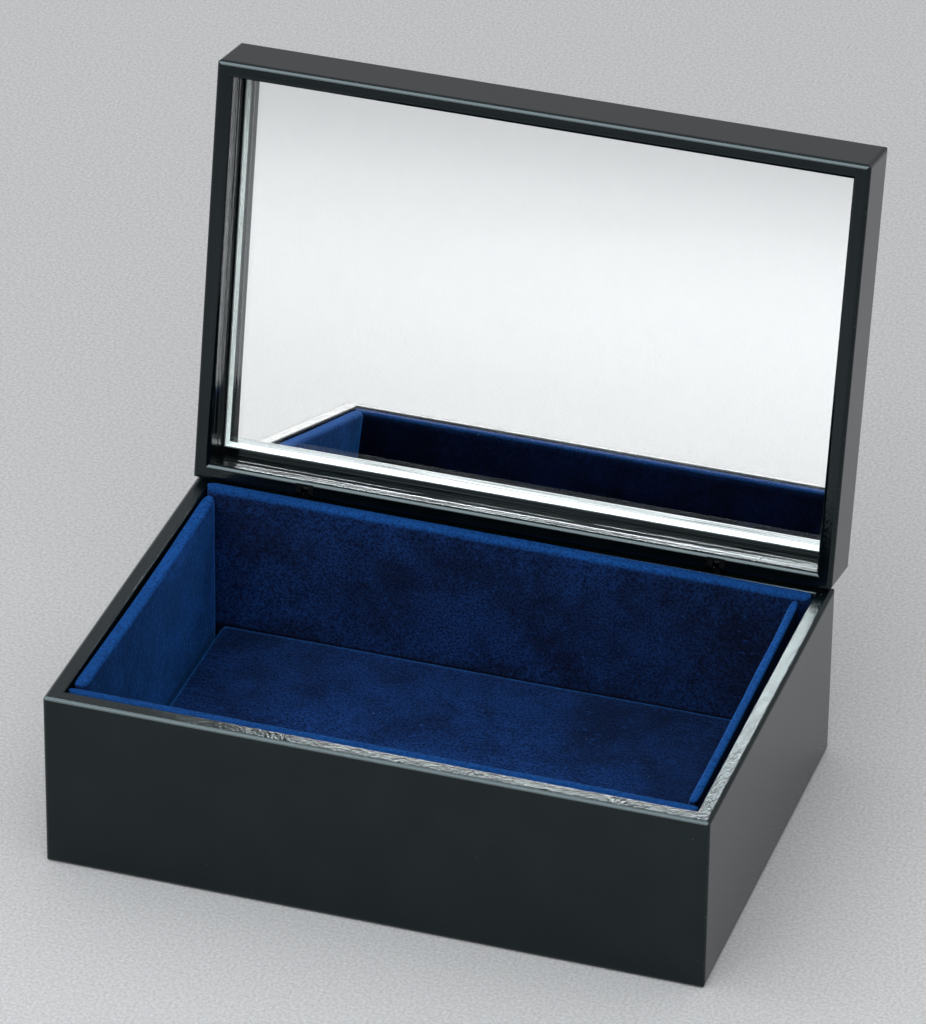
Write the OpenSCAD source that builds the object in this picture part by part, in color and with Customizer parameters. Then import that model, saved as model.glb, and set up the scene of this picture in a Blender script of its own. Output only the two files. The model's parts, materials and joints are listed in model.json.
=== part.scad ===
// Lidded vanity trinket box: a mitred, black lacquered case lined with velvet boards,
// and a deep lid that stands open on two concealed pin hinges and holds a mirror.
// Origin: centre of the underside. +Z is up, -Y is the front, +X is the right-hand side.
// The model rests with its lid open against the stops; the lid closes about +X.

/* [Box] */
// Outer width of the box
box_w = 180; // [150:1:220]
// Outer depth of the box, front to back
box_d = 119; // [100:1:150]
// Height of the lower case, without the lid
box_h = 51; // [42:1:70]
// Thickness of the lacquered side boards
wall = 4.5; // [4.5:0.1:6]
// Radius of the lacquered outer edges of the case
edge_r = 1.2; // [0.4:0.1:1.2]
// Thickness of the bottom panel
bottom_t = 4; // [3:0.5:5]

/* [Lid] */
// Total height of the lid
lid_h = 19; // [18:0.5:24]
// Radius of the lid's upright edges and of the outer edge of its rim
lid_edge_r = 1.2; // [1.2:0.1:1.4]
// Radius of the inner edge of the lid's rim
lid_inner_r = 1.2; // [0.4:0.1:1.4]
// Radius of the edges around the lid's top face
lid_top_r = 1.8; // [1.2:0.1:2.5]
// Angle between the closed lid and the open lid
lid_angle = 100.8; // [90:0.2:105]
// Gap between the two rims when the lid is shut
rim_gap = 0.25; // [0.2:0.05:0.4]

/* [Mirror] */
// Distance from the rim of the lid down to the glass
mirror_recess = 10.5; // [8:0.5:11]
// Thickness of the mirror glass
glass_t = 3; // [2:0.5:3]
// Strip of bare panel left along the hinge side of the glass
mirror_short = 1.6; // [0.5:0.1:4]

/* [Lining] */
// Thickness of a velvet-covered lining board
liner_t = 3.9; // [3:0.1:4.5]
// Distance of the lining's top edge below the rim
liner_drop = 0.5; // [0:0.1:2]
// Thickness of the padded floor board
floor_t = 6.3; // [3:0.1:8]
// Gap between the left-hand lining board and the wall
left_gap = 1; // [0.3:0.1:1.5]
// Angle at which the loose right-hand board stands off the wall
right_skew = 1.1; // [0:0.1:1.2]

/* [Hinges] */
// Distance of each hinge from the middle of the box
hinge_x = 58; // [40:1:60]
// Distance of the hinge pin in front of the back face
hinge_inset = 1.9; // [1.9:0.05:2]
// Height of the hinge pin above the rim of the case
hinge_rise = 2.9; // [2.9:0.05:3]
// Diameter of the hinge pin
pin_d = 1.2; // [1:0.1:1.2]

/* [Hidden] */
$fn = 48;
eps = 0.01;

// case
rim_inner_r = 0.5;
rabbet_w = 2;
rabbet_h = bottom_t;
panel_clear = 0.1;
inner_w = box_w - 2 * wall;
inner_d = box_d - 2 * wall;

// lid, in its closed place
lid_z = box_h + rim_gap;
backing_t = 0.2;
glass_clear = 0.3;
lid_wall_h = mirror_recess + glass_t + backing_t;
lid_panel_t = lid_h - lid_wall_h;
glass_w = inner_w - 2 * glass_clear;
glass_d = inner_d - glass_clear - mirror_short;

// lining
liner_clear = 0.3;
liner_top_r = 1.4;
liner_h = box_h - liner_drop - rabbet_h;
side_liner_len = inner_d - 2 * (liner_t + 2 * liner_clear);
floor_clear = 0.2;
skew_run = side_liner_len * sin(right_skew);
left_shift = left_gap - liner_clear;
floor_w = inner_w - 2 * (liner_clear + liner_t + floor_clear) - skew_run - left_shift;
floor_d = inner_d - 2 * (liner_clear + liner_t + floor_clear);

// hinges
hinge_y = box_d / 2 - hinge_inset;
hinge_z = box_h + hinge_rise;
run_clear = 0.04;
drive_clear = 0.01;
lug_t = 1.8;
lug_eye_r = 1.5;
foot_w = 7;
foot_depth = 9;
pocket_clear = 0.05;
cheek_t = 1.5;
slot_clear = 0.1;
socket_w = lug_t + 2 * slot_clear + 2 * cheek_t;
socket_front = 1.75;
socket_top = 5;
socket_sink = 0.05;
stop_clear = 0.03;
pin_len = socket_w - 0.1;
far = 4;

lacquer = [0.09, 0.10, 0.11];
velvet = [0.03, 0.14, 0.45];
dark_steel = [0.16, 0.16, 0.17];
silver = [0.86, 0.88, 0.89];
glass = [0.80, 0.88, 0.86];

// ---- shared shapes ----

// Material to take off a square corner at the origin, leaving a round of radius r
module corner_waste(r) {
    difference() {
        translate([-eps, -eps]) square(r + eps);
        translate([r, r]) circle(r);
    }
}

module rounded_rect(w, d, r) {
    difference() {
        square([w, d], center = true);
        for (sx = [0, 1], sy = [0, 1])
            mirror([sx, 0]) mirror([0, sy]) translate([-w / 2, -d / 2]) corner_waste(r);
    }
}

// Upright section of a board: x runs inwards from the outer face, y runs up
module board_section(t, h, outer_low_r, outer_top_r, inner_low_r, inner_top_r) {
    difference() {
        square([t, h]);
        if (outer_low_r > 0) corner_waste(outer_low_r);
        if (outer_top_r > 0) translate([0, h]) mirror([0, 1]) corner_waste(outer_top_r);
        if (inner_low_r > 0) translate([t, 0]) mirror([1, 0]) corner_waste(inner_low_r);
        if (inner_top_r > 0)
            translate([t, h]) mirror([0, 1]) mirror([1, 0]) corner_waste(inner_top_r);
    }
}

// Plan of the front board of a w x d frame, mitred at both ends
module mitred_plan(w, d, r) {
    run = wall + 1;
    intersection() {
        rounded_rect(w, d, r);
        polygon([
            [-w / 2 - 1, -d / 2 - 1], [w / 2 + 1, -d / 2 - 1],
            [w / 2 - run, -d / 2 + run], [-w / 2 + run, -d / 2 + run]
        ]);
    }
}

// Front board of a w x d frame: the children are its upright section
module mitred_board(w, d, h, r) {
    intersection() {
        translate([-w / 2, -d / 2, 0]) rotate([90, 0, 90]) linear_extrude(w) children();
        linear_extrude(h) mitred_plan(w, d, r);
    }
}

// A flat block standing on z = 0 with rounded upper edges and rounded corners
module soft_block(w, d, h, top_r, corner_r) {
    intersection() {
        translate([-w / 2, -d / 2, 0]) rotate([90, 0, 90]) linear_extrude(w)
            board_section(d, h, 0, top_r, 0, top_r);
        translate([-w / 2, d / 2, 0]) rotate([90, 0, 0]) linear_extrude(d)
            board_section(w, h, 0, top_r, 0, top_r);
        linear_extrude(h) rounded_rect(w, d, corner_r);
    }
}

// ---- lower case ----

module case_board(w, d) {
    mitred_board(w, d, box_h, edge_r) difference() {
        board_section(wall, box_h, edge_r, edge_r, 0, rim_inner_r);
        translate([wall - rabbet_w, -eps]) square([rabbet_w + eps, rabbet_h + eps]);
    }
}

module base_front_wall() { color(lacquer) case_board(box_w, box_d); }

module base_right_wall() { color(lacquer) rotate([0, 0, 90]) case_board(box_d, box_w); }

module base_left_wall() { color(lacquer) rotate([0, 0, -90]) case_board(box_d, box_w); }

module base_back_wall() {
    color(lacquer) difference() {
        rotate([0, 0, 180]) case_board(box_w, box_d);
        for (side = [-1, 1]) translate([side * hinge_x, hinge_y, box_h]) lug_foot(pocket_clear, 1);
    }
}

module base_bottom_panel() {
    grip = 2 * (rabbet_w - panel_clear);
    color(lacquer) translate([0, 0, bottom_t / 2])
        cube([inner_w + grip, inner_d + grip, bottom_t], center = true);
}

// ---- velvet lining ----

module liner_board(len) {
    translate([-len / 2, 0, rabbet_h]) rotate([90, 0, 90]) linear_extrude(len)
        board_section(liner_t, liner_h, 0, liner_top_r, 0, liner_top_r);
}

module liner_front() {
    color(velvet) translate([0, -inner_d / 2 + liner_clear, 0])
        liner_board(inner_w - 2 * liner_clear);
}

module liner_back() {
    color(velvet) translate([0, inner_d / 2 - liner_clear - liner_t, 0])
        liner_board(inner_w - 2 * liner_clear);
}

module liner_left() {
    color(velvet) translate([-inner_w / 2 + left_gap, 0, 0]) rotate([0, 0, -90])
        liner_board(side_liner_len);
}

// The right-hand board touches the wall at the front and leans into the box at the back
module liner_right() {
    color(velvet) translate([inner_w / 2 - liner_clear - 0.2, -side_liner_len / 2, 0])
        rotate([0, 0, right_skew]) translate([0, side_liner_len / 2, 0]) rotate([0, 0, 90])
            liner_board(side_liner_len);
}

module liner_floor() {
    color(velvet) translate([(left_shift - skew_run) / 2, 0, rabbet_h])
        soft_block(floor_w, floor_d, floor_t, liner_top_r, liner_top_r);
}

// ---- hinges ----

// Plate of the lug that is let into the rim of the case
module lug_foot(grow, above) {
    low = foot_depth + grow;
    translate([-foot_w / 2 - grow, -lug_t / 2 - grow, -low])
        cube([foot_w + 2 * grow, lug_t + 2 * grow, low + above - pocket_clear]);
}

module hinge_lug(side) {
    color(dark_steel) translate([side * hinge_x, hinge_y, box_h]) difference() {
        union() {
            lug_foot(0, 0);
            translate([-lug_t / 2, -lug_t / 2, -1]) cube([lug_t, lug_t, 1 + hinge_rise]);
            translate([-lug_t / 2, 0, hinge_rise]) rotate([0, 90, 0]) cylinder(h = lug_t, r = lug_eye_r);
        }
        translate([-lug_t, 0, hinge_rise]) rotate([0, 90, 0])
            cylinder(h = 2 * lug_t, r = pin_d / 2 + run_clear);
    }
}

module hinge_lug_left() { hinge_lug(-1); }

module hinge_lug_right() { hinge_lug(1); }

// Space that the lug sweeps inside the lid, seen along the pin: x runs back, y runs up.
// Its sloping upper side is the stop that the lug meets when the lid is open.
module lug_sweep() {
    along = [sin(lid_angle), -cos(lid_angle)];
    stop = (lug_t / 2 + stop_clear) * [cos(lid_angle), sin(lid_angle)];
    polygon([
        [-lug_t / 2 - slot_clear, 0], [-lug_t / 2 - slot_clear, -far], [far, -far],
        stop + far * along, stop
    ]);
    circle(lug_eye_r + slot_clear);
}

// Outline of a socket seen along the pin, rounded where it meets the round of the lid's edge
module socket_outline() {
    low = hinge_rise - rim_gap - socket_sink;
    back = hinge_inset - socket_sink;
    translate([back, -low]) mirror([1, 0])
        board_section(socket_front + back, low + socket_top, lid_edge_r - socket_sink, 0, 0, 0);
}

// Pocket for a socket in the back board of the lid, open at the rim and at the back
module socket_pocket() {
    w = socket_w + 2 * pocket_clear;
    translate([-w / 2, -socket_front - pocket_clear, -far])
        cube([w, socket_front + pocket_clear + far, far + socket_top + pocket_clear]);
}

// Turns the closed lid about the pins into its open place
module lid_pose() {
    translate([0, hinge_y, hinge_z]) rotate([-lid_angle, 0, 0])
        translate([0, -hinge_y, -hinge_z]) children();
}

module hinge_socket(side) {
    slot_w = lug_t + 2 * slot_clear;
    color(dark_steel) lid_pose() translate([side * hinge_x, hinge_y, hinge_z]) difference() {
        translate([-socket_w / 2, 0, 0]) rotate([90, 0, 90]) linear_extrude(socket_w) socket_outline();
        translate([-slot_w / 2, 0, 0]) rotate([90, 0, 90]) linear_extrude(slot_w) lug_sweep();
        translate([-socket_w, 0, 0]) rotate([0, 90, 0])
            cylinder(h = 2 * socket_w, r = pin_d / 2 + drive_clear);
    }
}

module hinge_socket_left() { hinge_socket(-1); }

module hinge_socket_right() { hinge_socket(1); }

module hinge_pin(side) {
    color(dark_steel) translate([side * hinge_x - pin_len / 2, hinge_y, hinge_z])
        rotate([0, 90, 0]) cylinder(h = pin_len, d = pin_d);
}

module hinge_pin_left() { hinge_pin(-1); }

module hinge_pin_right() { hinge_pin(1); }

// ---- lid ----

module lid_board(w, d) {
    translate([0, 0, lid_z]) mitred_board(w, d, lid_wall_h, lid_edge_r)
        board_section(wall, lid_wall_h, lid_edge_r, 0, lid_inner_r, 0);
}

module lid_front_wall() { color(lacquer) lid_pose() lid_board(box_w, box_d); }

module lid_right_wall() { color(lacquer) lid_pose() rotate([0, 0, 90]) lid_board(box_d, box_w); }

module lid_left_wall() { color(lacquer) lid_pose() rotate([0, 0, -90]) lid_board(box_d, box_w); }

module lid_back_wall() {
    color(lacquer) lid_pose() difference() {
        rotate([0, 0, 180]) lid_board(box_w, box_d);
        for (side = [-1, 1]) translate([side * hinge_x, hinge_y, hinge_z]) socket_pocket();
    }
}

module lid_top_panel() {
    color(lacquer) lid_pose() translate([0, 0, lid_z + lid_wall_h])
        soft_block(box_w, box_d, lid_panel_t, lid_top_r, lid_edge_r);
}

module mirror_plate(t) {
    translate([-glass_w / 2, -inner_d / 2 + glass_clear, 0]) cube([glass_w, glass_d, t]);
}

module mirror_glass() {
    color(glass) lid_pose() translate([0, 0, lid_z + mirror_recess]) mirror_plate(glass_t);
}

module mirror_backing() {
    color(silver) lid_pose() translate([0, 0, lid_z + mirror_recess + glass_t])
        mirror_plate(backing_t);
}

base_front_wall();
base_back_wall();
base_left_wall();
base_right_wall();
base_bottom_panel();
liner_front();
liner_back();
liner_left();
liner_right();
liner_floor();
hinge_lug_left();
hinge_lug_right();
lid_front_wall();
lid_back_wall();
lid_left_wall();
lid_right_wall();
lid_top_panel();
mirror_glass();
mirror_backing();
hinge_socket_left();
hinge_socket_right();
hinge_pin_left();
hinge_pin_right();
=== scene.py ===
import json
import math

import bmesh
import bpy
from mathutils import Matrix, Vector, noise

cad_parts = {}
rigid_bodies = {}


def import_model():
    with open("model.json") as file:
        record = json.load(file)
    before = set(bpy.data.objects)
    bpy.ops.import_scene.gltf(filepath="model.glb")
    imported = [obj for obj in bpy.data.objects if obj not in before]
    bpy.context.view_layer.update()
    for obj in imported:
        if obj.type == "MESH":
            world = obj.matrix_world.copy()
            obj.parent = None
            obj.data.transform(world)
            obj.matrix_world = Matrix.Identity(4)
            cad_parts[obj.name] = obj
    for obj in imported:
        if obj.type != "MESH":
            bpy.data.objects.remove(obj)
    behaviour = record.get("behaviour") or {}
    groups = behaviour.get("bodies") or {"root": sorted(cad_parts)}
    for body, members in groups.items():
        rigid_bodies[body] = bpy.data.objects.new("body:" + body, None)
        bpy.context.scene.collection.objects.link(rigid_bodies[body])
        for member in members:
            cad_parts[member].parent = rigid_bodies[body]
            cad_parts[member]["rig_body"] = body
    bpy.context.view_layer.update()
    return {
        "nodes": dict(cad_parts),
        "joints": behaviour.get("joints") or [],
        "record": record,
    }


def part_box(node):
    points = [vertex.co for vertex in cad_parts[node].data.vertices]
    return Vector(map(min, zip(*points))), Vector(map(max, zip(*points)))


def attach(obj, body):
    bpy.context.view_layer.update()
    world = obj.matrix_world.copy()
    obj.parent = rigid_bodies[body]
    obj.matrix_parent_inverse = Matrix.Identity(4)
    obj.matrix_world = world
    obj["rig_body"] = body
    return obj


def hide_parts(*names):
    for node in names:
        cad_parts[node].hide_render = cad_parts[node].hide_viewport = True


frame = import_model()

MM = 0.001

# The lid is open at rest, and turning it by LID_ANGLE about HINGE shuts it.
lid_hinge = frame["joints"][0]
HINGE = Vector(lid_hinge["pos_m"])
LID_ANGLE = math.radians(lid_hinge["range_deg"][1])

# Heights in the shut box: the two rims, the top of the lining and the top of the floor pad.
CASE_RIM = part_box("base_front_wall")[1].z
LID_RIM = CASE_RIM + 0.25 * MM
LINING_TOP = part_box("liner_front")[1].z
PAD_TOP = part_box("liner_floor")[1].z


# ---------------------------------------------------------------- camera
def make_camera():
    """A long lens, in front of the box and a little to its right, looking down by 31 degrees."""
    data = bpy.data.cameras.new("camera")
    data.sensor_fit = "HORIZONTAL"
    data.sensor_width = 36.0
    data.lens = 268.81
    data.clip_start = 0.05
    data.clip_end = 50.0
    cam = bpy.data.objects.new("camera", data)
    bpy.context.collection.objects.link(cam)
    stand = Vector((470.177, -1457.562, 1023.389)) * MM
    azimuth, elevation, roll = -1.261718, 0.546932, 0.012531  # radians
    flat = math.cos(elevation)
    back = Vector((flat * math.cos(azimuth), flat * math.sin(azimuth), math.sin(elevation)))
    right = (-back).cross(Vector((0, 0, 1))).normalized()
    up = right.cross(-back)
    rolled_right = right * math.cos(roll) + up * math.sin(roll)
    rolled_up = up * math.cos(roll) - right * math.sin(roll)
    place = Matrix((rolled_right, rolled_up, back)).transposed().to_4x4()
    place.translation = stand
    cam.matrix_world = place
    bpy.context.scene.camera = cam


# ---------------------------------------------------------------- shader nodes
class Mat:
    """A material being built. Each method adds a node and returns the output that is wanted."""

    def __init__(self, name):
        self.mat = bpy.data.materials.new(name)
        self.mat.use_nodes = True
        self.tree = self.mat.node_tree
        self.tree.nodes.clear()
        self.out = self.tree.nodes.new("ShaderNodeOutputMaterial")
        self.coord = self.tree.nodes.new("ShaderNodeTexCoord")
        self.position = self.coord.outputs["Object"]
        self.normal = self.coord.outputs["Normal"]

    def add(self, kind, props=None, inputs=None):
        node = self.tree.nodes.new("ShaderNode" + kind)
        for key, value in (props or {}).items():
            setattr(node, key, value)
        for key, value in (inputs or {}).items():
            socket = node.inputs[key]
            if isinstance(value, bpy.types.NodeSocket):
                self.tree.links.new(value, socket)
            else:
                socket.default_value = value
        return node

    def math(self, operation, a, b=0.0, clamp=False):
        node = self.add("Math", {"operation": operation, "use_clamp": clamp}, {0: a, 1: b})
        return node.outputs[0]

    def mapped(self, vector, scale=(1, 1, 1), location=(0, 0, 0), rotation=(0, 0, 0)):
        node = self.add("Mapping", None, {"Vector": vector, "Scale": scale, "Location": location,
                                          "Rotation": rotation})
        return node.outputs[0]

    def noise(self, vector, scale, detail=2.0, roughness=0.5, distortion=0.0):
        node = self.add("TexNoise", None, {"Vector": vector, "Scale": scale, "Detail": detail,
                                           "Roughness": roughness, "Distortion": distortion})
        return node.outputs[0]

    def smooth(self, value, low, high, to_low=0.0, to_high=1.0):
        node = self.add("MapRange", {"interpolation_type": "SMOOTHSTEP"},
                        {"Value": value, "From Min": low, "From Max": high, "To Min": to_low,
                         "To Max": to_high})
        return node.outputs[0]

    def mix(self, factor, a, b, blend="MIX"):
        node = self.add("Mix", {"data_type": "RGBA", "blend_type": blend},
                        {"Factor": factor, 6: a, 7: b})
        return node.outputs[2]

    def split(self, vector):
        return self.add("SeparateXYZ", None, {0: vector}).outputs

    def bump(self, height, distance, strength=1.0, normal=None):
        inputs = {"Height": height, "Distance": distance, "Strength": strength}
        if normal:
            inputs["Normal"] = normal
        return self.add("Bump", None, inputs).outputs[0]

    def specks(self, cells, size, share):
        """Dots of about size cell widths, in the given share of the cells: 1 on a dot, 0 elsewhere."""
        cell = self.add("TexVoronoi", None, {"Vector": self.position, "Scale": cells})
        near = self.smooth(cell.outputs["Distance"], size * 0.6, size, 1.0, 0.0)
        chosen = self.math("LESS_THAN", self.split(cell.outputs["Color"])[0], share)
        return self.math("MULTIPLY", near, chosen)

    def surface(self, inputs):
        shader = self.add("BsdfPrincipled", None, inputs)
        self.tree.links.new(shader.outputs[0], self.out.inputs["Surface"])
        return self.mat


# ---------------------------------------------------------------- materials
def lacquer(name, lid):
    """Black lacquer, satin on the broad faces, with rubbed rims and fine lines along the lid's inside."""
    m = Mat(name)
    place, facing = m.position, m.normal
    if lid:
        turned = (LID_ANGLE, 0, 0)
        place = m.mapped(m.mapped(place, location=tuple(-HINGE)), rotation=turned, location=tuple(HINGE))
        facing = m.mapped(facing, rotation=turned)
    x, y, z = m.split(place)
    nx, ny, nz = [m.math("ABSOLUTE", side) for side in m.split(facing)]
    flatness = m.math("MAXIMUM", m.math("MAXIMUM", nx, ny), nz)
    on_edge = m.smooth(flatness, 0.80, 0.99, 1.0, 0.0)
    rim = LID_RIM if lid else CASE_RIM
    from_rim = m.math("ABSOLUTE", m.math("SUBTRACT", z, rim))
    on_rim = m.math("MULTIPLY", m.smooth(from_rim, 0.2 * MM, 0.5 * MM, 1.0, 0.0),
                    m.smooth(nz, 0.90, 0.98))

    peel = m.noise(place, 900, 2.0, 0.5)
    waves = m.noise(place, 90, 1.0, 0.5)
    rubbed = m.noise(m.mapped(place, scale=(1, 0.6, 1)), 1250, 2.0, 0.65)
    normal = m.bump(waves, 0.05 * MM, 0.35)
    normal = m.bump(peel, 0.010 * MM, 0.25, normal)
    rim_relief = (0.04 if lid else 0.19) * MM
    normal = m.bump(m.math("MULTIPLY", rubbed, on_rim), rim_relief, 1.0, normal)
    if lid:
        half_x, half_y = 87.5 * MM, 57.2 * MM  # these end within the thickness of the lid's boards
        inside = m.math("MULTIPLY", m.math("LESS_THAN", m.math("ABSOLUTE", x), half_x),
                        m.math("LESS_THAN", m.math("ABSOLUTE", y), half_y))
        depth = m.math("SUBTRACT", z, rim)
        tilt = -0.035  # the boards' inner faces seem to lean by this much for each unit of depth
        normal = m.bump(m.math("MULTIPLY", m.math("MULTIPLY", depth, tilt), inside), 1.0, 1.0, normal)
        lines = m.noise(m.mapped(place, scale=(0.01, 0.01, 1)), 560, 2.0, 0.6)
        lines = m.math("MULTIPLY", lines, m.smooth(depth, 0.2 * MM, 1.5 * MM))
        normal = m.bump(m.math("MULTIPLY", lines, inside), 0.28 * MM, 1.0, normal)

    worn = m.math("MULTIPLY", on_edge, m.smooth(m.noise(place, 700, 3.0, 0.7), 0.56, 0.70))
    dust = m.math("MAXIMUM", m.specks(150, 0.030, 0.10), m.specks(420, 0.05, 0.05))
    # Painted light: the case's lacquer is painted 1.7 times lighter than the lid's, though both are the same
    # black.
    painted_lightness = 1.0 if lid else 1.7
    blacks = (0.0010, 0.0026, 0.0034), (0.0018, 0.0042, 0.0050)
    dark, pale = [[painted_lightness * channel for channel in black] + [1] for black in blacks]
    mottled = m.mix(m.smooth(waves, 0.3, 0.7), dark, pale)
    rubbed_colour = m.mix(worn, mottled, (0.020, 0.022, 0.024, 1))
    colour = m.mix(m.math("MULTIPLY", dust, 0.6), rubbed_colour, (0.30, 0.31, 0.32, 1))
    satin = m.smooth(m.noise(place, 60, 3.0, 0.6), 0.25, 0.75, 0.11, 0.16)
    if lid:
        satin = m.math("MULTIPLY", satin, m.math("SUBTRACT", 1.0, m.math("MULTIPLY", inside, 0.5)))
    matt = m.math("MULTIPLY", m.math("ADD", worn, dust), 0.12)
    rough = m.math("ADD", satin, matt, clamp=True)
    return m.surface({"Base Color": colour, "Roughness": rough, "IOR": 1.385, "Normal": normal,
                      "Specular Tint": (0.80, 0.96, 1.0, 1)})


def velvet(name, seed, light=1.0, sheen=0.9, fade=0.0):
    """Deep blue cotton velvet: a grainy pile, brushed light and dark patches, and a little lint.
    light is a painted lightness for the piece, which also grows darker towards the right of the box, and
    sheen says how much it shines at a low angle; the last argument paints shade towards the front of the box.
    The rolled top edges get a painted highlight and the foot of the pad a painted shade."""
    m = Mat(name)
    x, y, height = m.split(m.position)
    place = m.mapped(m.position, location=(seed, seed * 0.7, 0))
    pile = m.noise(place, 1500, 2.0, 0.6)
    tufts = m.noise(place, 700, 2.0, 0.6)
    brushed = m.noise(place, 38, 3.0, 0.55, 0.5)
    strokes = m.noise(place, 110, 3.0, 0.6, 0.3)
    patch = m.smooth(m.math("ADD", m.math("MULTIPLY", brushed, 0.6), m.math("MULTIPLY", strokes, 0.4)),
                     0.36, 0.66)
    nap = m.mix(patch, (0.0030, 0.0150, 0.066, 1), (0.0080, 0.0430, 0.180, 1))
    grain = m.mix(m.smooth(pile, 0.36, 0.64), (0.22, 0.24, 0.30, 1), (1, 1, 1, 1))
    # Painted shade: light paints each piece lighter or darker, and the piece grows darker towards the right
    # of the box.
    shade = m.smooth(x, 0.0, 80 * MM, light, 0.68 * light)
    # Painted shade: darker towards the front of the box.
    if fade:
        shade = m.math("MULTIPLY", shade, m.smooth(y, -50 * MM, 15 * MM, 1 - fade, 1.0))
    colour = m.mix(1.0, m.mix(1.0, nap, shade, "MULTIPLY"), grain, "MULTIPLY")
    # The tufts take the same painted lightness.
    tips = [light * channel for channel in (0.008, 0.042, 0.17)] + [1]
    colour = m.mix(m.smooth(tufts, 0.58, 0.80), colour, tips)
    # Painted highlight: where the rolled top edges face up they are painted a lighter blue.
    near_top = m.smooth(height, LINING_TOP - 1.6 * MM, LINING_TOP - 0.1 * MM)
    rolled = m.math("MULTIPLY", near_top, m.smooth(m.split(m.normal)[2], 0.05, 0.6))
    painted_top_highlight = m.mix(m.smooth(pile, 0.30, 0.60), (0.0028, 0.040, 0.17, 1), (0.0050, 0.085, 0.34, 1))
    colour = m.mix(m.math("MULTIPLY", rolled, 0.65), colour, painted_top_highlight)
    # Painted shade: the foot of the pad's rolled border is painted near black.
    crease_shade = m.smooth(height, PAD_TOP - 1.0 * MM, PAD_TOP - 0.15 * MM, 0.85, 0.0)
    colour = m.mix(crease_shade, colour, (0.0008, 0.003, 0.012, 1))
    lint = m.math("MAXIMUM", m.specks(85, 0.022, 0.10), m.specks(190, 0.035, 0.05))
    colour = m.mix(m.math("MULTIPLY", lint, 0.7), colour, (0.28, 0.42, 0.62, 1))
    normal = m.bump(brushed, 1.2 * MM, 0.25)
    normal = m.bump(tufts, 0.35 * MM, 0.5, normal)
    normal = m.bump(pile, 0.22 * MM, 0.7, normal)
    return m.surface({"Base Color": colour, "Roughness": 0.95, "Specular IOR Level": 0.06,
                      "Sheen Weight": sheen, "Sheen Roughness": 0.32, "Sheen Tint": (0.05, 0.31, 1.0, 1),
                      "Normal": normal})


def mirror_silver():
    m = Mat("mirror_silver")
    edge = m.noise(m.position, 260, 3.0, 0.6)
    tint = m.mix(m.smooth(edge, 0.3, 0.8), (0.965, 0.965, 0.96, 1), (0.95, 0.952, 0.95, 1))
    return m.surface({"Base Color": tint, "Metallic": 1.0, "Roughness": 0.0})


def clear_glass():
    m = Mat("mirror_glass")
    specks = m.specks(60, 0.012, 0.20)
    tint = m.mix(specks, (0.992, 0.996, 0.993, 1), (0.80, 0.82, 0.82, 1))
    return m.surface({"Base Color": tint, "Roughness": 0.0, "IOR": 1.52, "Transmission Weight": 1.0})


def ground_glass():
    """The seamed and ground edge of the plate, frosty white with a green cast and small chips."""
    m = Mat("mirror_glass_ground_edge")
    chips = m.noise(m.position, 2400, 3.0, 0.7)
    colour = m.mix(m.smooth(chips, 0.35, 0.65), (0.70, 0.78, 0.76, 1), (0.95, 0.99, 0.98, 1))
    normal = m.bump(chips, 0.12 * MM, 0.8)
    return m.surface({"Base Color": colour, "Roughness": 0.55, "IOR": 1.5, "Normal": normal})


def hinge_steel():
    """Blackened steel, faintly brushed, with a few worn spots."""
    m = Mat("hinge_steel")
    brushed = m.noise(m.mapped(m.position, scale=(0.15, 1, 1)), 2600, 2.0, 0.6)
    spots = m.smooth(m.noise(m.position, 1500, 3.0, 0.7), 0.60, 0.74)
    colour = m.mix(spots, (0.006, 0.0065, 0.007, 1), (0.05, 0.05, 0.052, 1))
    rough = m.smooth(brushed, 0.2, 0.8, 0.30, 0.50)
    return m.surface({"Base Color": colour, "Metallic": 1.0, "Roughness": rough,
                      "Normal": m.bump(brushed, 0.02 * MM, 0.6)})


def paper():
    """Pale grey background paper with a faint grain."""
    m = Mat("paper")
    fibre = m.noise(m.position, 1100, 3.0, 0.7)
    colour = m.mix(m.smooth(fibre, 0.30, 0.70), (0.53, 0.532, 0.535, 1), (0.705, 0.708, 0.712, 1))
    return m.surface({"Base Color": colour, "Roughness": 0.8, "Specular IOR Level": 0.2,
                      "Normal": m.bump(fibre, 0.15 * MM, 0.4)})


def dress_cad_nodes():
    """Gives the CAD nodes that stay in view the material of their slot. Pieces replace the others."""
    lacquers = {"case": lacquer("lacquer_case", False), "lid": lacquer("lacquer_lid", True)}
    finishes = {"mirror_silver": mirror_silver(), "hinge_steel": hinge_steel()}
    for part in frame["record"]["subparts"]:
        node, slot = frame["nodes"][part["node"]], part["material_slot"]
        material = lacquers[node["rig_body"]] if slot == "lacquer" else finishes.get(slot)
        if material:
            node.data.materials.clear()
            node.data.materials.append(material)


# ---------------------------------------------------------------- pieces
def link_mesh(name, mesh, material):
    piece = bpy.data.objects.new(name, mesh)
    bpy.context.collection.objects.link(piece)
    mesh.materials.append(material)
    return piece


def mesh_from(bm, name, smooth):
    """Turns the faces outwards, and makes them a mesh with smooth or flat shading."""
    bmesh.ops.recalc_face_normals(bm, faces=bm.faces)
    mesh = bpy.data.meshes.new(name)
    bm.to_mesh(mesh)
    bm.free()
    for face in mesh.polygons:
        face.use_smooth = smooth
    return mesh


def turn_lid(point, angle):
    """Where a point of the lid goes when the lid turns by the angle. A positive angle shuts it."""
    return HINGE + Matrix.Rotation(angle, 3, "X") @ (point - HINGE)


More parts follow.
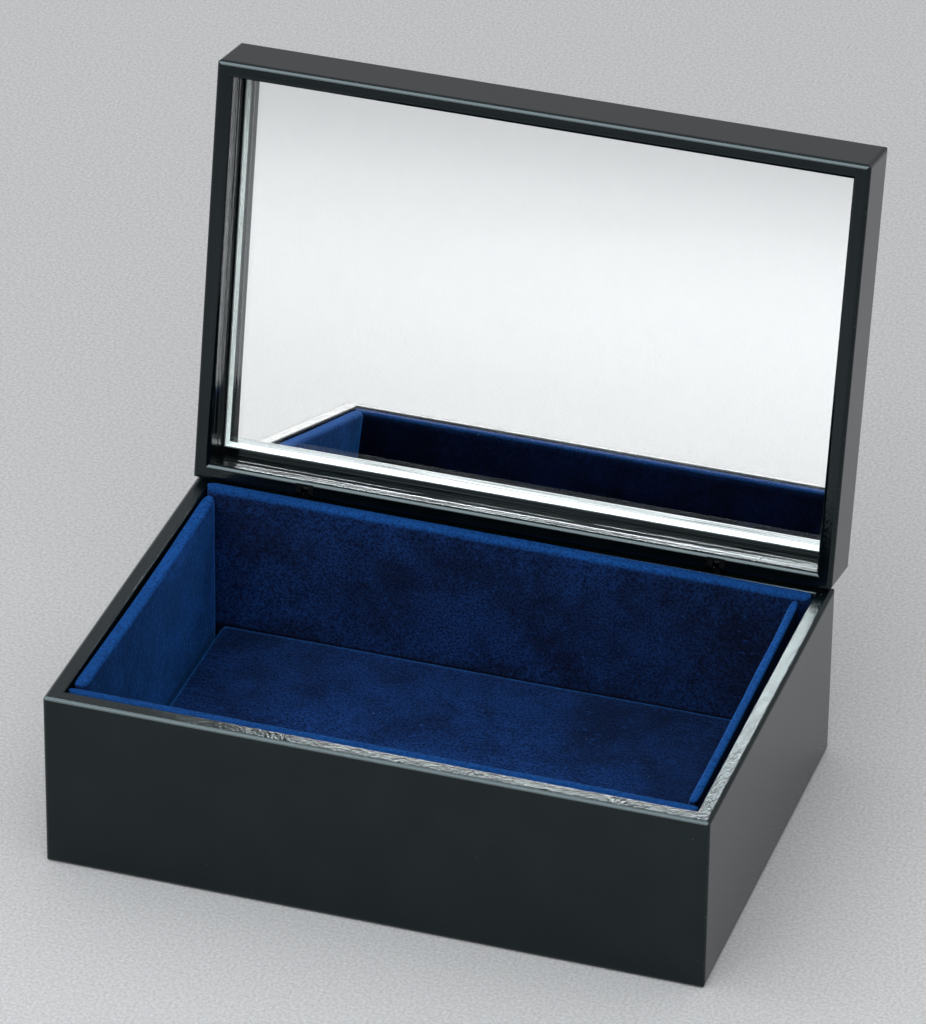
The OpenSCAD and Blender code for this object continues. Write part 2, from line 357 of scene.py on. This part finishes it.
def glass_plate():
    """The mirror's glass: a clear plate with chamfered, ground edges, lying just clear of its silvering."""
    chamfer, air = 0.5 * MM, 0.04 * MM
    corners = [turn_lid(v.co, LID_ANGLE) for v in frame["nodes"]["mirror_glass"].data.vertices]
    low = Vector([min(c[i] for c in corners) for i in range(3)])
    high = Vector([max(c[i] for c in corners) for i in range(3)])
    high.z -= air
    back_chamfer = chamfer * 0.5
    rings = [(chamfer, low.z), (0.0, low.z + chamfer), (0.0, high.z - back_chamfer), (back_chamfer, high.z)]
    bm = bmesh.new()
    loops = []
    for inset, z in rings:
        x0, x1, y0, y1 = low.x + inset, high.x - inset, low.y + inset, high.y - inset
        loops.append([bm.verts.new(turn_lid(Vector((x, y, z)), -LID_ANGLE))
                      for x, y in ((x0, y0), (x1, y0), (x1, y1), (x0, y1))])
    bm.faces.new(loops[0][::-1])
    bm.faces.new(loops[-1])
    for lower, upper in zip(loops, loops[1:]):
        for i in range(4):
            j = (i + 1) % 4
            side = bm.faces.new((lower[i], lower[j], upper[j], upper[i]))
            side.material_index = 1
    mesh = mesh_from(bm, "mirror_plate", smooth=False)
    piece = link_mesh("mirror_plate", mesh, clear_glass())
    mesh.materials.append(ground_glass())
    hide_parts("mirror_glass")
    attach(piece, "lid")
    piece.visible_shadow = False


def section(thickness, height, wall_round, room_round, rows):
    """Outline of a lining board seen from its end, from the wall side over the top to the room side."""
    arc_steps = 5
    up = [(0.0, (height - wall_round) * k / rows) for k in range(rows + 1)]
    over = []
    for radius, centre, start in ((wall_round, wall_round, 180), (room_round, thickness - room_round, 90)):
        for k in range(1, arc_steps + 1):
            angle = math.radians(start - 90 * k / arc_steps)
            over.append((centre + radius * math.cos(angle), height - radius + radius * math.sin(angle)))
    down = [(thickness, (height - room_round) * (rows - k) / rows) for k in range(1, rows + 1)]
    return up + over + down


def board_mesh(name, length, outline, step, wall_side):
    """A board of the given outline. Its ends are drawn in a little, like fabric pulled over card.
    The first wall_side strips of the outline face the wall and get the second material."""
    bm = bmesh.new()
    count = max(8, round(length / step))
    middle = sum(across for across, up in outline) / len(outline)
    tuck_reach = 1.2 * MM
    rings = []
    for k in range(count + 1):
        along = length * k / count
        end = min(along, length - along)
        tuck = 1.0 - 0.2 * max(0.0, 1.0 - end / tuck_reach) ** 2
        rings.append([bm.verts.new((along, middle + (across - middle) * tuck, up)) for across, up in outline])
    for a, b in zip(rings, rings[1:]):
        for i in range(len(outline) - 1):
            strip = bm.faces.new((a[i], a[i + 1], b[i + 1], b[i]))
            strip.material_index = 1 if i < wall_side else 0
        bm.faces.new((a[-1], a[0], b[0], b[-1]))
    half = len(outline) // 2
    for ring, turned in ((rings[0], False), (rings[-1], True)):
        for i in range(half):
            quad = [ring[i], ring[i + 1], ring[len(ring) - 2 - i], ring[len(ring) - 1 - i]]
            unique = list(dict.fromkeys(quad[::-1] if turned else quad))
            if len(unique) > 2:
                bm.faces.new(unique)
    return mesh_from(bm, name, smooth=True)


CLOTH_PRESSURE = 0.6


def puff(piece, held, pressure, cap):
    """Blows the cover up like padding under cloth. Held points stay, and no point moves further than cap."""
    rest = [v.co.copy() for v in piece.data.vertices]
    group = piece.vertex_groups.new(name="held")
    for v in piece.data.vertices:
        group.add([v.index], 1.0 if held(v.co) else 0.0, "REPLACE")
    cloth = piece.modifiers.new("padding", "CLOTH")
    settings = cloth.settings
    settings.vertex_group_mass = "held"
    settings.use_pressure = True
    settings.uniform_pressure_force = pressure
    settings.mass = 0.05
    settings.quality = 4
    settings.tension_stiffness = 12
    settings.bending_stiffness = 0.4
    settings.effector_weights.gravity = 0.0
    last_frame = 20
    for frame_number in range(1, last_frame + 1):
        bpy.context.scene.frame_set(frame_number)
    blown = piece.evaluated_get(bpy.context.evaluated_depsgraph_get()).data
    moved = [v.co - r for v, r in zip(blown.vertices, rest)]
    piece.modifiers.remove(cloth)
    bpy.context.scene.frame_set(1)
    furthest = max((d.length for d in moved), default=0.0)
    share = min(1.0, cap / furthest) if furthest > 0 else 0.0
    for v, r, d in zip(piece.data.vertices, rest, moved):
        v.co = r + d * share


def waviness(point, seed, size):
    """Smooth unevenness from -1 to 1 at a place on the cloth."""
    return noise.noise(Vector(point) / size + Vector((seed, seed * 1.7, seed * 0.3)))


def lining_board(node, seed, length, thickness, height, place, lean, wall_round=0.9 * MM, **pile):
    """One upright lining board. place turns its own axes (along, across from the wall, up) into the
    frame's, lean(s) gives the gap to the wall, in mm, at s of the way along, and pile goes to velvet:
    the board's painted lightness, its sheen and its painted shade towards the front."""
    rows = 14
    painted_shade_strips = rows + 2  # strips up the wall side and the start of its rounding
    outline = section(thickness, height, wall_round, 1.4 * MM, rows)
    mesh = board_mesh(node.replace("liner", "velvet"), length, outline, 2.6 * MM, painted_shade_strips)
    piece = link_mesh(mesh.name, mesh, velvet("velvet_" + node, seed, **pile))
    # Painted shade: the wall side of each board, down in the gap by the wall, gets a near-black copy of the
    # velvet.
    mesh.materials.append(velvet("velvet_pressed_" + node, seed, light=0.12, sheen=0.04))
    puff(piece, lambda co: co.y < thickness * 0.4 or co.z < 3 * MM, CLOTH_PRESSURE, 0.35 * MM)
    padding, wave, ripple, top_wave = 0.22 * MM, 0.16 * MM, 0.05 * MM, 0.12 * MM
    for v in mesh.vertices:
        s = min(1.0, max(0.0, v.co.x / length))
        up = min(1.0, max(0.0, v.co.z / height))
        free = 0.35 + 0.65 * up
        gap = lean(s) * (0.25 + 0.75 * up) * MM
        crown = padding * math.sin(math.pi * s) * math.sin(math.pi * up ** 0.7)
        uneven = wave * free * waviness(v.co, seed, 24 * MM) + ripple * waviness(v.co, seed, 6 * MM)
        room_side = v.co.y / thickness
        v.co.y += gap + (crown + uneven) * room_side
        v.co.z += top_wave * up * waviness(v.co, seed + 5, 18 * MM)
        v.co = place(v.co, s, up)
    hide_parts(node)
    finish_velvet(piece)


def finish_velvet(piece):
    smooth = piece.modifiers.new("smooth", "SUBSURF")
    smooth.levels = 1
    smooth.render_levels = 1
    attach(piece, "case")


def lining():
    """The four upright boards, each set against its wall, and the pad between them."""
    wall_gap = 0.3 * MM
    back_high, (left_low, left_high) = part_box("liner_back")[1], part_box("liner_left")
    inner_x, inner_y = back_high.x + wall_gap, back_high.y + wall_gap
    floor_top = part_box("base_bottom_panel")[1].z
    height = LINING_TOP - floor_top
    across = 2 * (inner_x - wall_gap)
    depth = left_high.y - left_low.y

    def front(co, s, up):
        return Vector((co.x - across / 2, -inner_y + co.y, floor_top + co.z))

    def back(co, s, up):
        rise = (0.8 + 0.8 * (1 - s)) * MM * up ** 4
        return Vector((co.x - across / 2, inner_y - co.y, floor_top + co.z + rise))

    def left(co, s, up):
        return Vector((-inner_x + co.y, co.x - depth / 2, floor_top + co.z))

    def right(co, s, up):
        return Vector((inner_x - co.y, co.x - depth / 2, floor_top + co.z))

    # The light values paint each board's lightness: the front board is painted in deep shade, the back and
    # left ones are painted lighter, and the left one is painted in shade towards the front.
    lining_board("liner_front", 1.0, across, 3.4 * MM, height, front, lambda s: 0.6,
                 light=0.2, sheen=0.12)
    lining_board("liner_back", 2.0, across, 3.7 * MM, height, back, lambda s: 0.2,
                 wall_round=0.5 * MM, light=1.25)
    lining_board("liner_left", 3.0, depth, 3.8 * MM, height, left,
                 lambda s: 0.3 + 0.6 * math.sin(math.pi * s), light=1.7, sheen=0.55, fade=0.45)
    lining_board("liner_right", 4.0, depth, 2.6 * MM, height, right, lambda s: 1.6 + 1.2 * s ** 2)
    floor_pad()


def floor_pad():
    """The padded board in the bottom: a grid over the CAD pad's box, rolled down at its four sides."""
    low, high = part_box("liner_floor")
    step = 2.2 * MM
    nx, ny = round((high.x - low.x) / step), round((high.y - low.y) / step)
    roll = 1.3 * MM
    bm = bmesh.new()
    top, bottom = {}, {}
    for i in range(nx + 1):
        for j in range(ny + 1):
            x = low.x + (high.x - low.x) * i / nx
            y = low.y + (high.y - low.y) * j / ny
            border = i in (0, nx) or j in (0, ny)
            top[i, j] = bm.verts.new((x, y, high.z - (roll * 0.35 if border else 0.0)))
            bottom[i, j] = bm.verts.new((x, y, low.z))
    for i in range(nx):
        for j in range(ny):
            bm.faces.new((top[i, j], top[i + 1, j], top[i + 1, j + 1], top[i, j + 1]))
            bm.faces.new((bottom[i, j], bottom[i, j + 1], bottom[i + 1, j + 1], bottom[i + 1, j]))
    edge = [(i, 0) for i in range(nx)] + [(nx, j) for j in range(ny)]
    edge += [(i, ny) for i in range(nx, 0, -1)] + [(0, j) for j in range(ny, 0, -1)]
    for a, b in zip(edge, edge[1:] + edge[:1]):
        bm.faces.new((bottom[a], bottom[b], top[b], top[a]))
    mesh = mesh_from(bm, "velvet_floor", smooth=True)
    piece = link_mesh("velvet_floor", mesh, velvet("velvet_liner_floor", 5.0))
    level = high.z - roll
    puff(piece, lambda co: co.z < level, CLOTH_PRESSURE, 0.5 * MM)
    for v in mesh.vertices:
        if v.co.z > level:
            v.co.z += 0.10 * MM * waviness(v.co, 9.0, 26 * MM)
    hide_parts("liner_floor")
    finish_velvet(piece)


# ---------------------------------------------------------------- studio
def softbox(name, place, target, width, height, radiance, colour=(1, 1, 1)):
    """A rectangular light of even radiance, which the camera doesn't see."""
    data = bpy.data.lights.new(name, "AREA")
    data.shape = "RECTANGLE"
    data.size, data.size_y = width, height
    data.energy = radiance * math.pi * width * height
    data.color = colour
    light = bpy.data.objects.new(name, data)
    bpy.context.collection.objects.link(light)
    light.location = place
    light.rotation_euler = (Vector(place) - Vector(target)).to_track_quat("Z", "Y").to_euler()
    light.visible_camera = False
    return light


def polar(azimuth, elevation, distance):
    """A place seen from the box at that azimuth from +X and elevation, in degrees."""
    a, e = math.radians(azimuth), math.radians(elevation)
    return Vector((math.cos(e) * math.cos(a), math.cos(e) * math.sin(a), math.sin(e))) * distance


def sky():
    """The studio's pale walls and ceiling, brighter overhead."""
    world = bpy.data.worlds.new("studio")
    bpy.context.scene.world = world
    world.use_nodes = True
    nodes, links = world.node_tree.nodes, world.node_tree.links
    coord = nodes.new("ShaderNodeTexCoord")
    axes = nodes.new("ShaderNodeSeparateXYZ")
    ramp = nodes.new("ShaderNodeMapRange")
    ramp.inputs["From Min"].default_value = 0.15
    ramp.inputs["From Max"].default_value = 1.0
    ramp.inputs["To Min"].default_value = 0.41
    ramp.inputs["To Max"].default_value = 1.05
    links.new(coord.outputs["Generated"], axes.inputs[0])
    links.new(axes.outputs[2], ramp.inputs["Value"])
    links.new(ramp.outputs[0], nodes["Background"].inputs["Strength"])
    nodes["Background"].inputs["Color"].default_value = (0.97, 0.98, 1.0, 1)


def studio():
    """The floor and the lights. The two cards only show as gloss, and the front light isn't seen as
    gloss: it lights the floor that the mirror shows."""
    mesh = bpy.data.meshes.new("floor")
    reach = 6.0
    corners = [(-reach, -reach, 0), (reach, -reach, 0), (reach, reach, 0), (-reach, reach, 0)]
    mesh.from_pydata(corners, [], [(0, 1, 2, 3)])
    link_mesh("floor", mesh, paper())
    sky()
    box_middle = (0, 0, 0.06)
    card = softbox("card", polar(-114, 56, 1.1), box_middle, width=0.80, height=0.82, radiance=9.5,
                   colour=(0.90, 0.97, 1.0))
    low_card = softbox("low_card", polar(-108, 21, 1.1), box_middle, width=0.85, height=0.36, radiance=5.5)
    for gloss_only in (card, low_card):
        gloss_only.visible_diffuse = False
    softbox("left", polar(184, 50, 1.5), (0, 0, 0), width=0.8, height=0.8, radiance=0.8)
    front = softbox("front", (0.02, -0.69, 0.9), (0.02, -0.69, 0), width=1.0, height=0.4, radiance=1.75,
                    colour=(0.94, 0.97, 1.0))
    front.data.spread = math.radians(100)
    front.visible_glossy = False
    bpy.context.scene.view_settings.view_transform = "Standard"


make_camera()
dress_cad_nodes()
glass_plate()
lining()
studio()
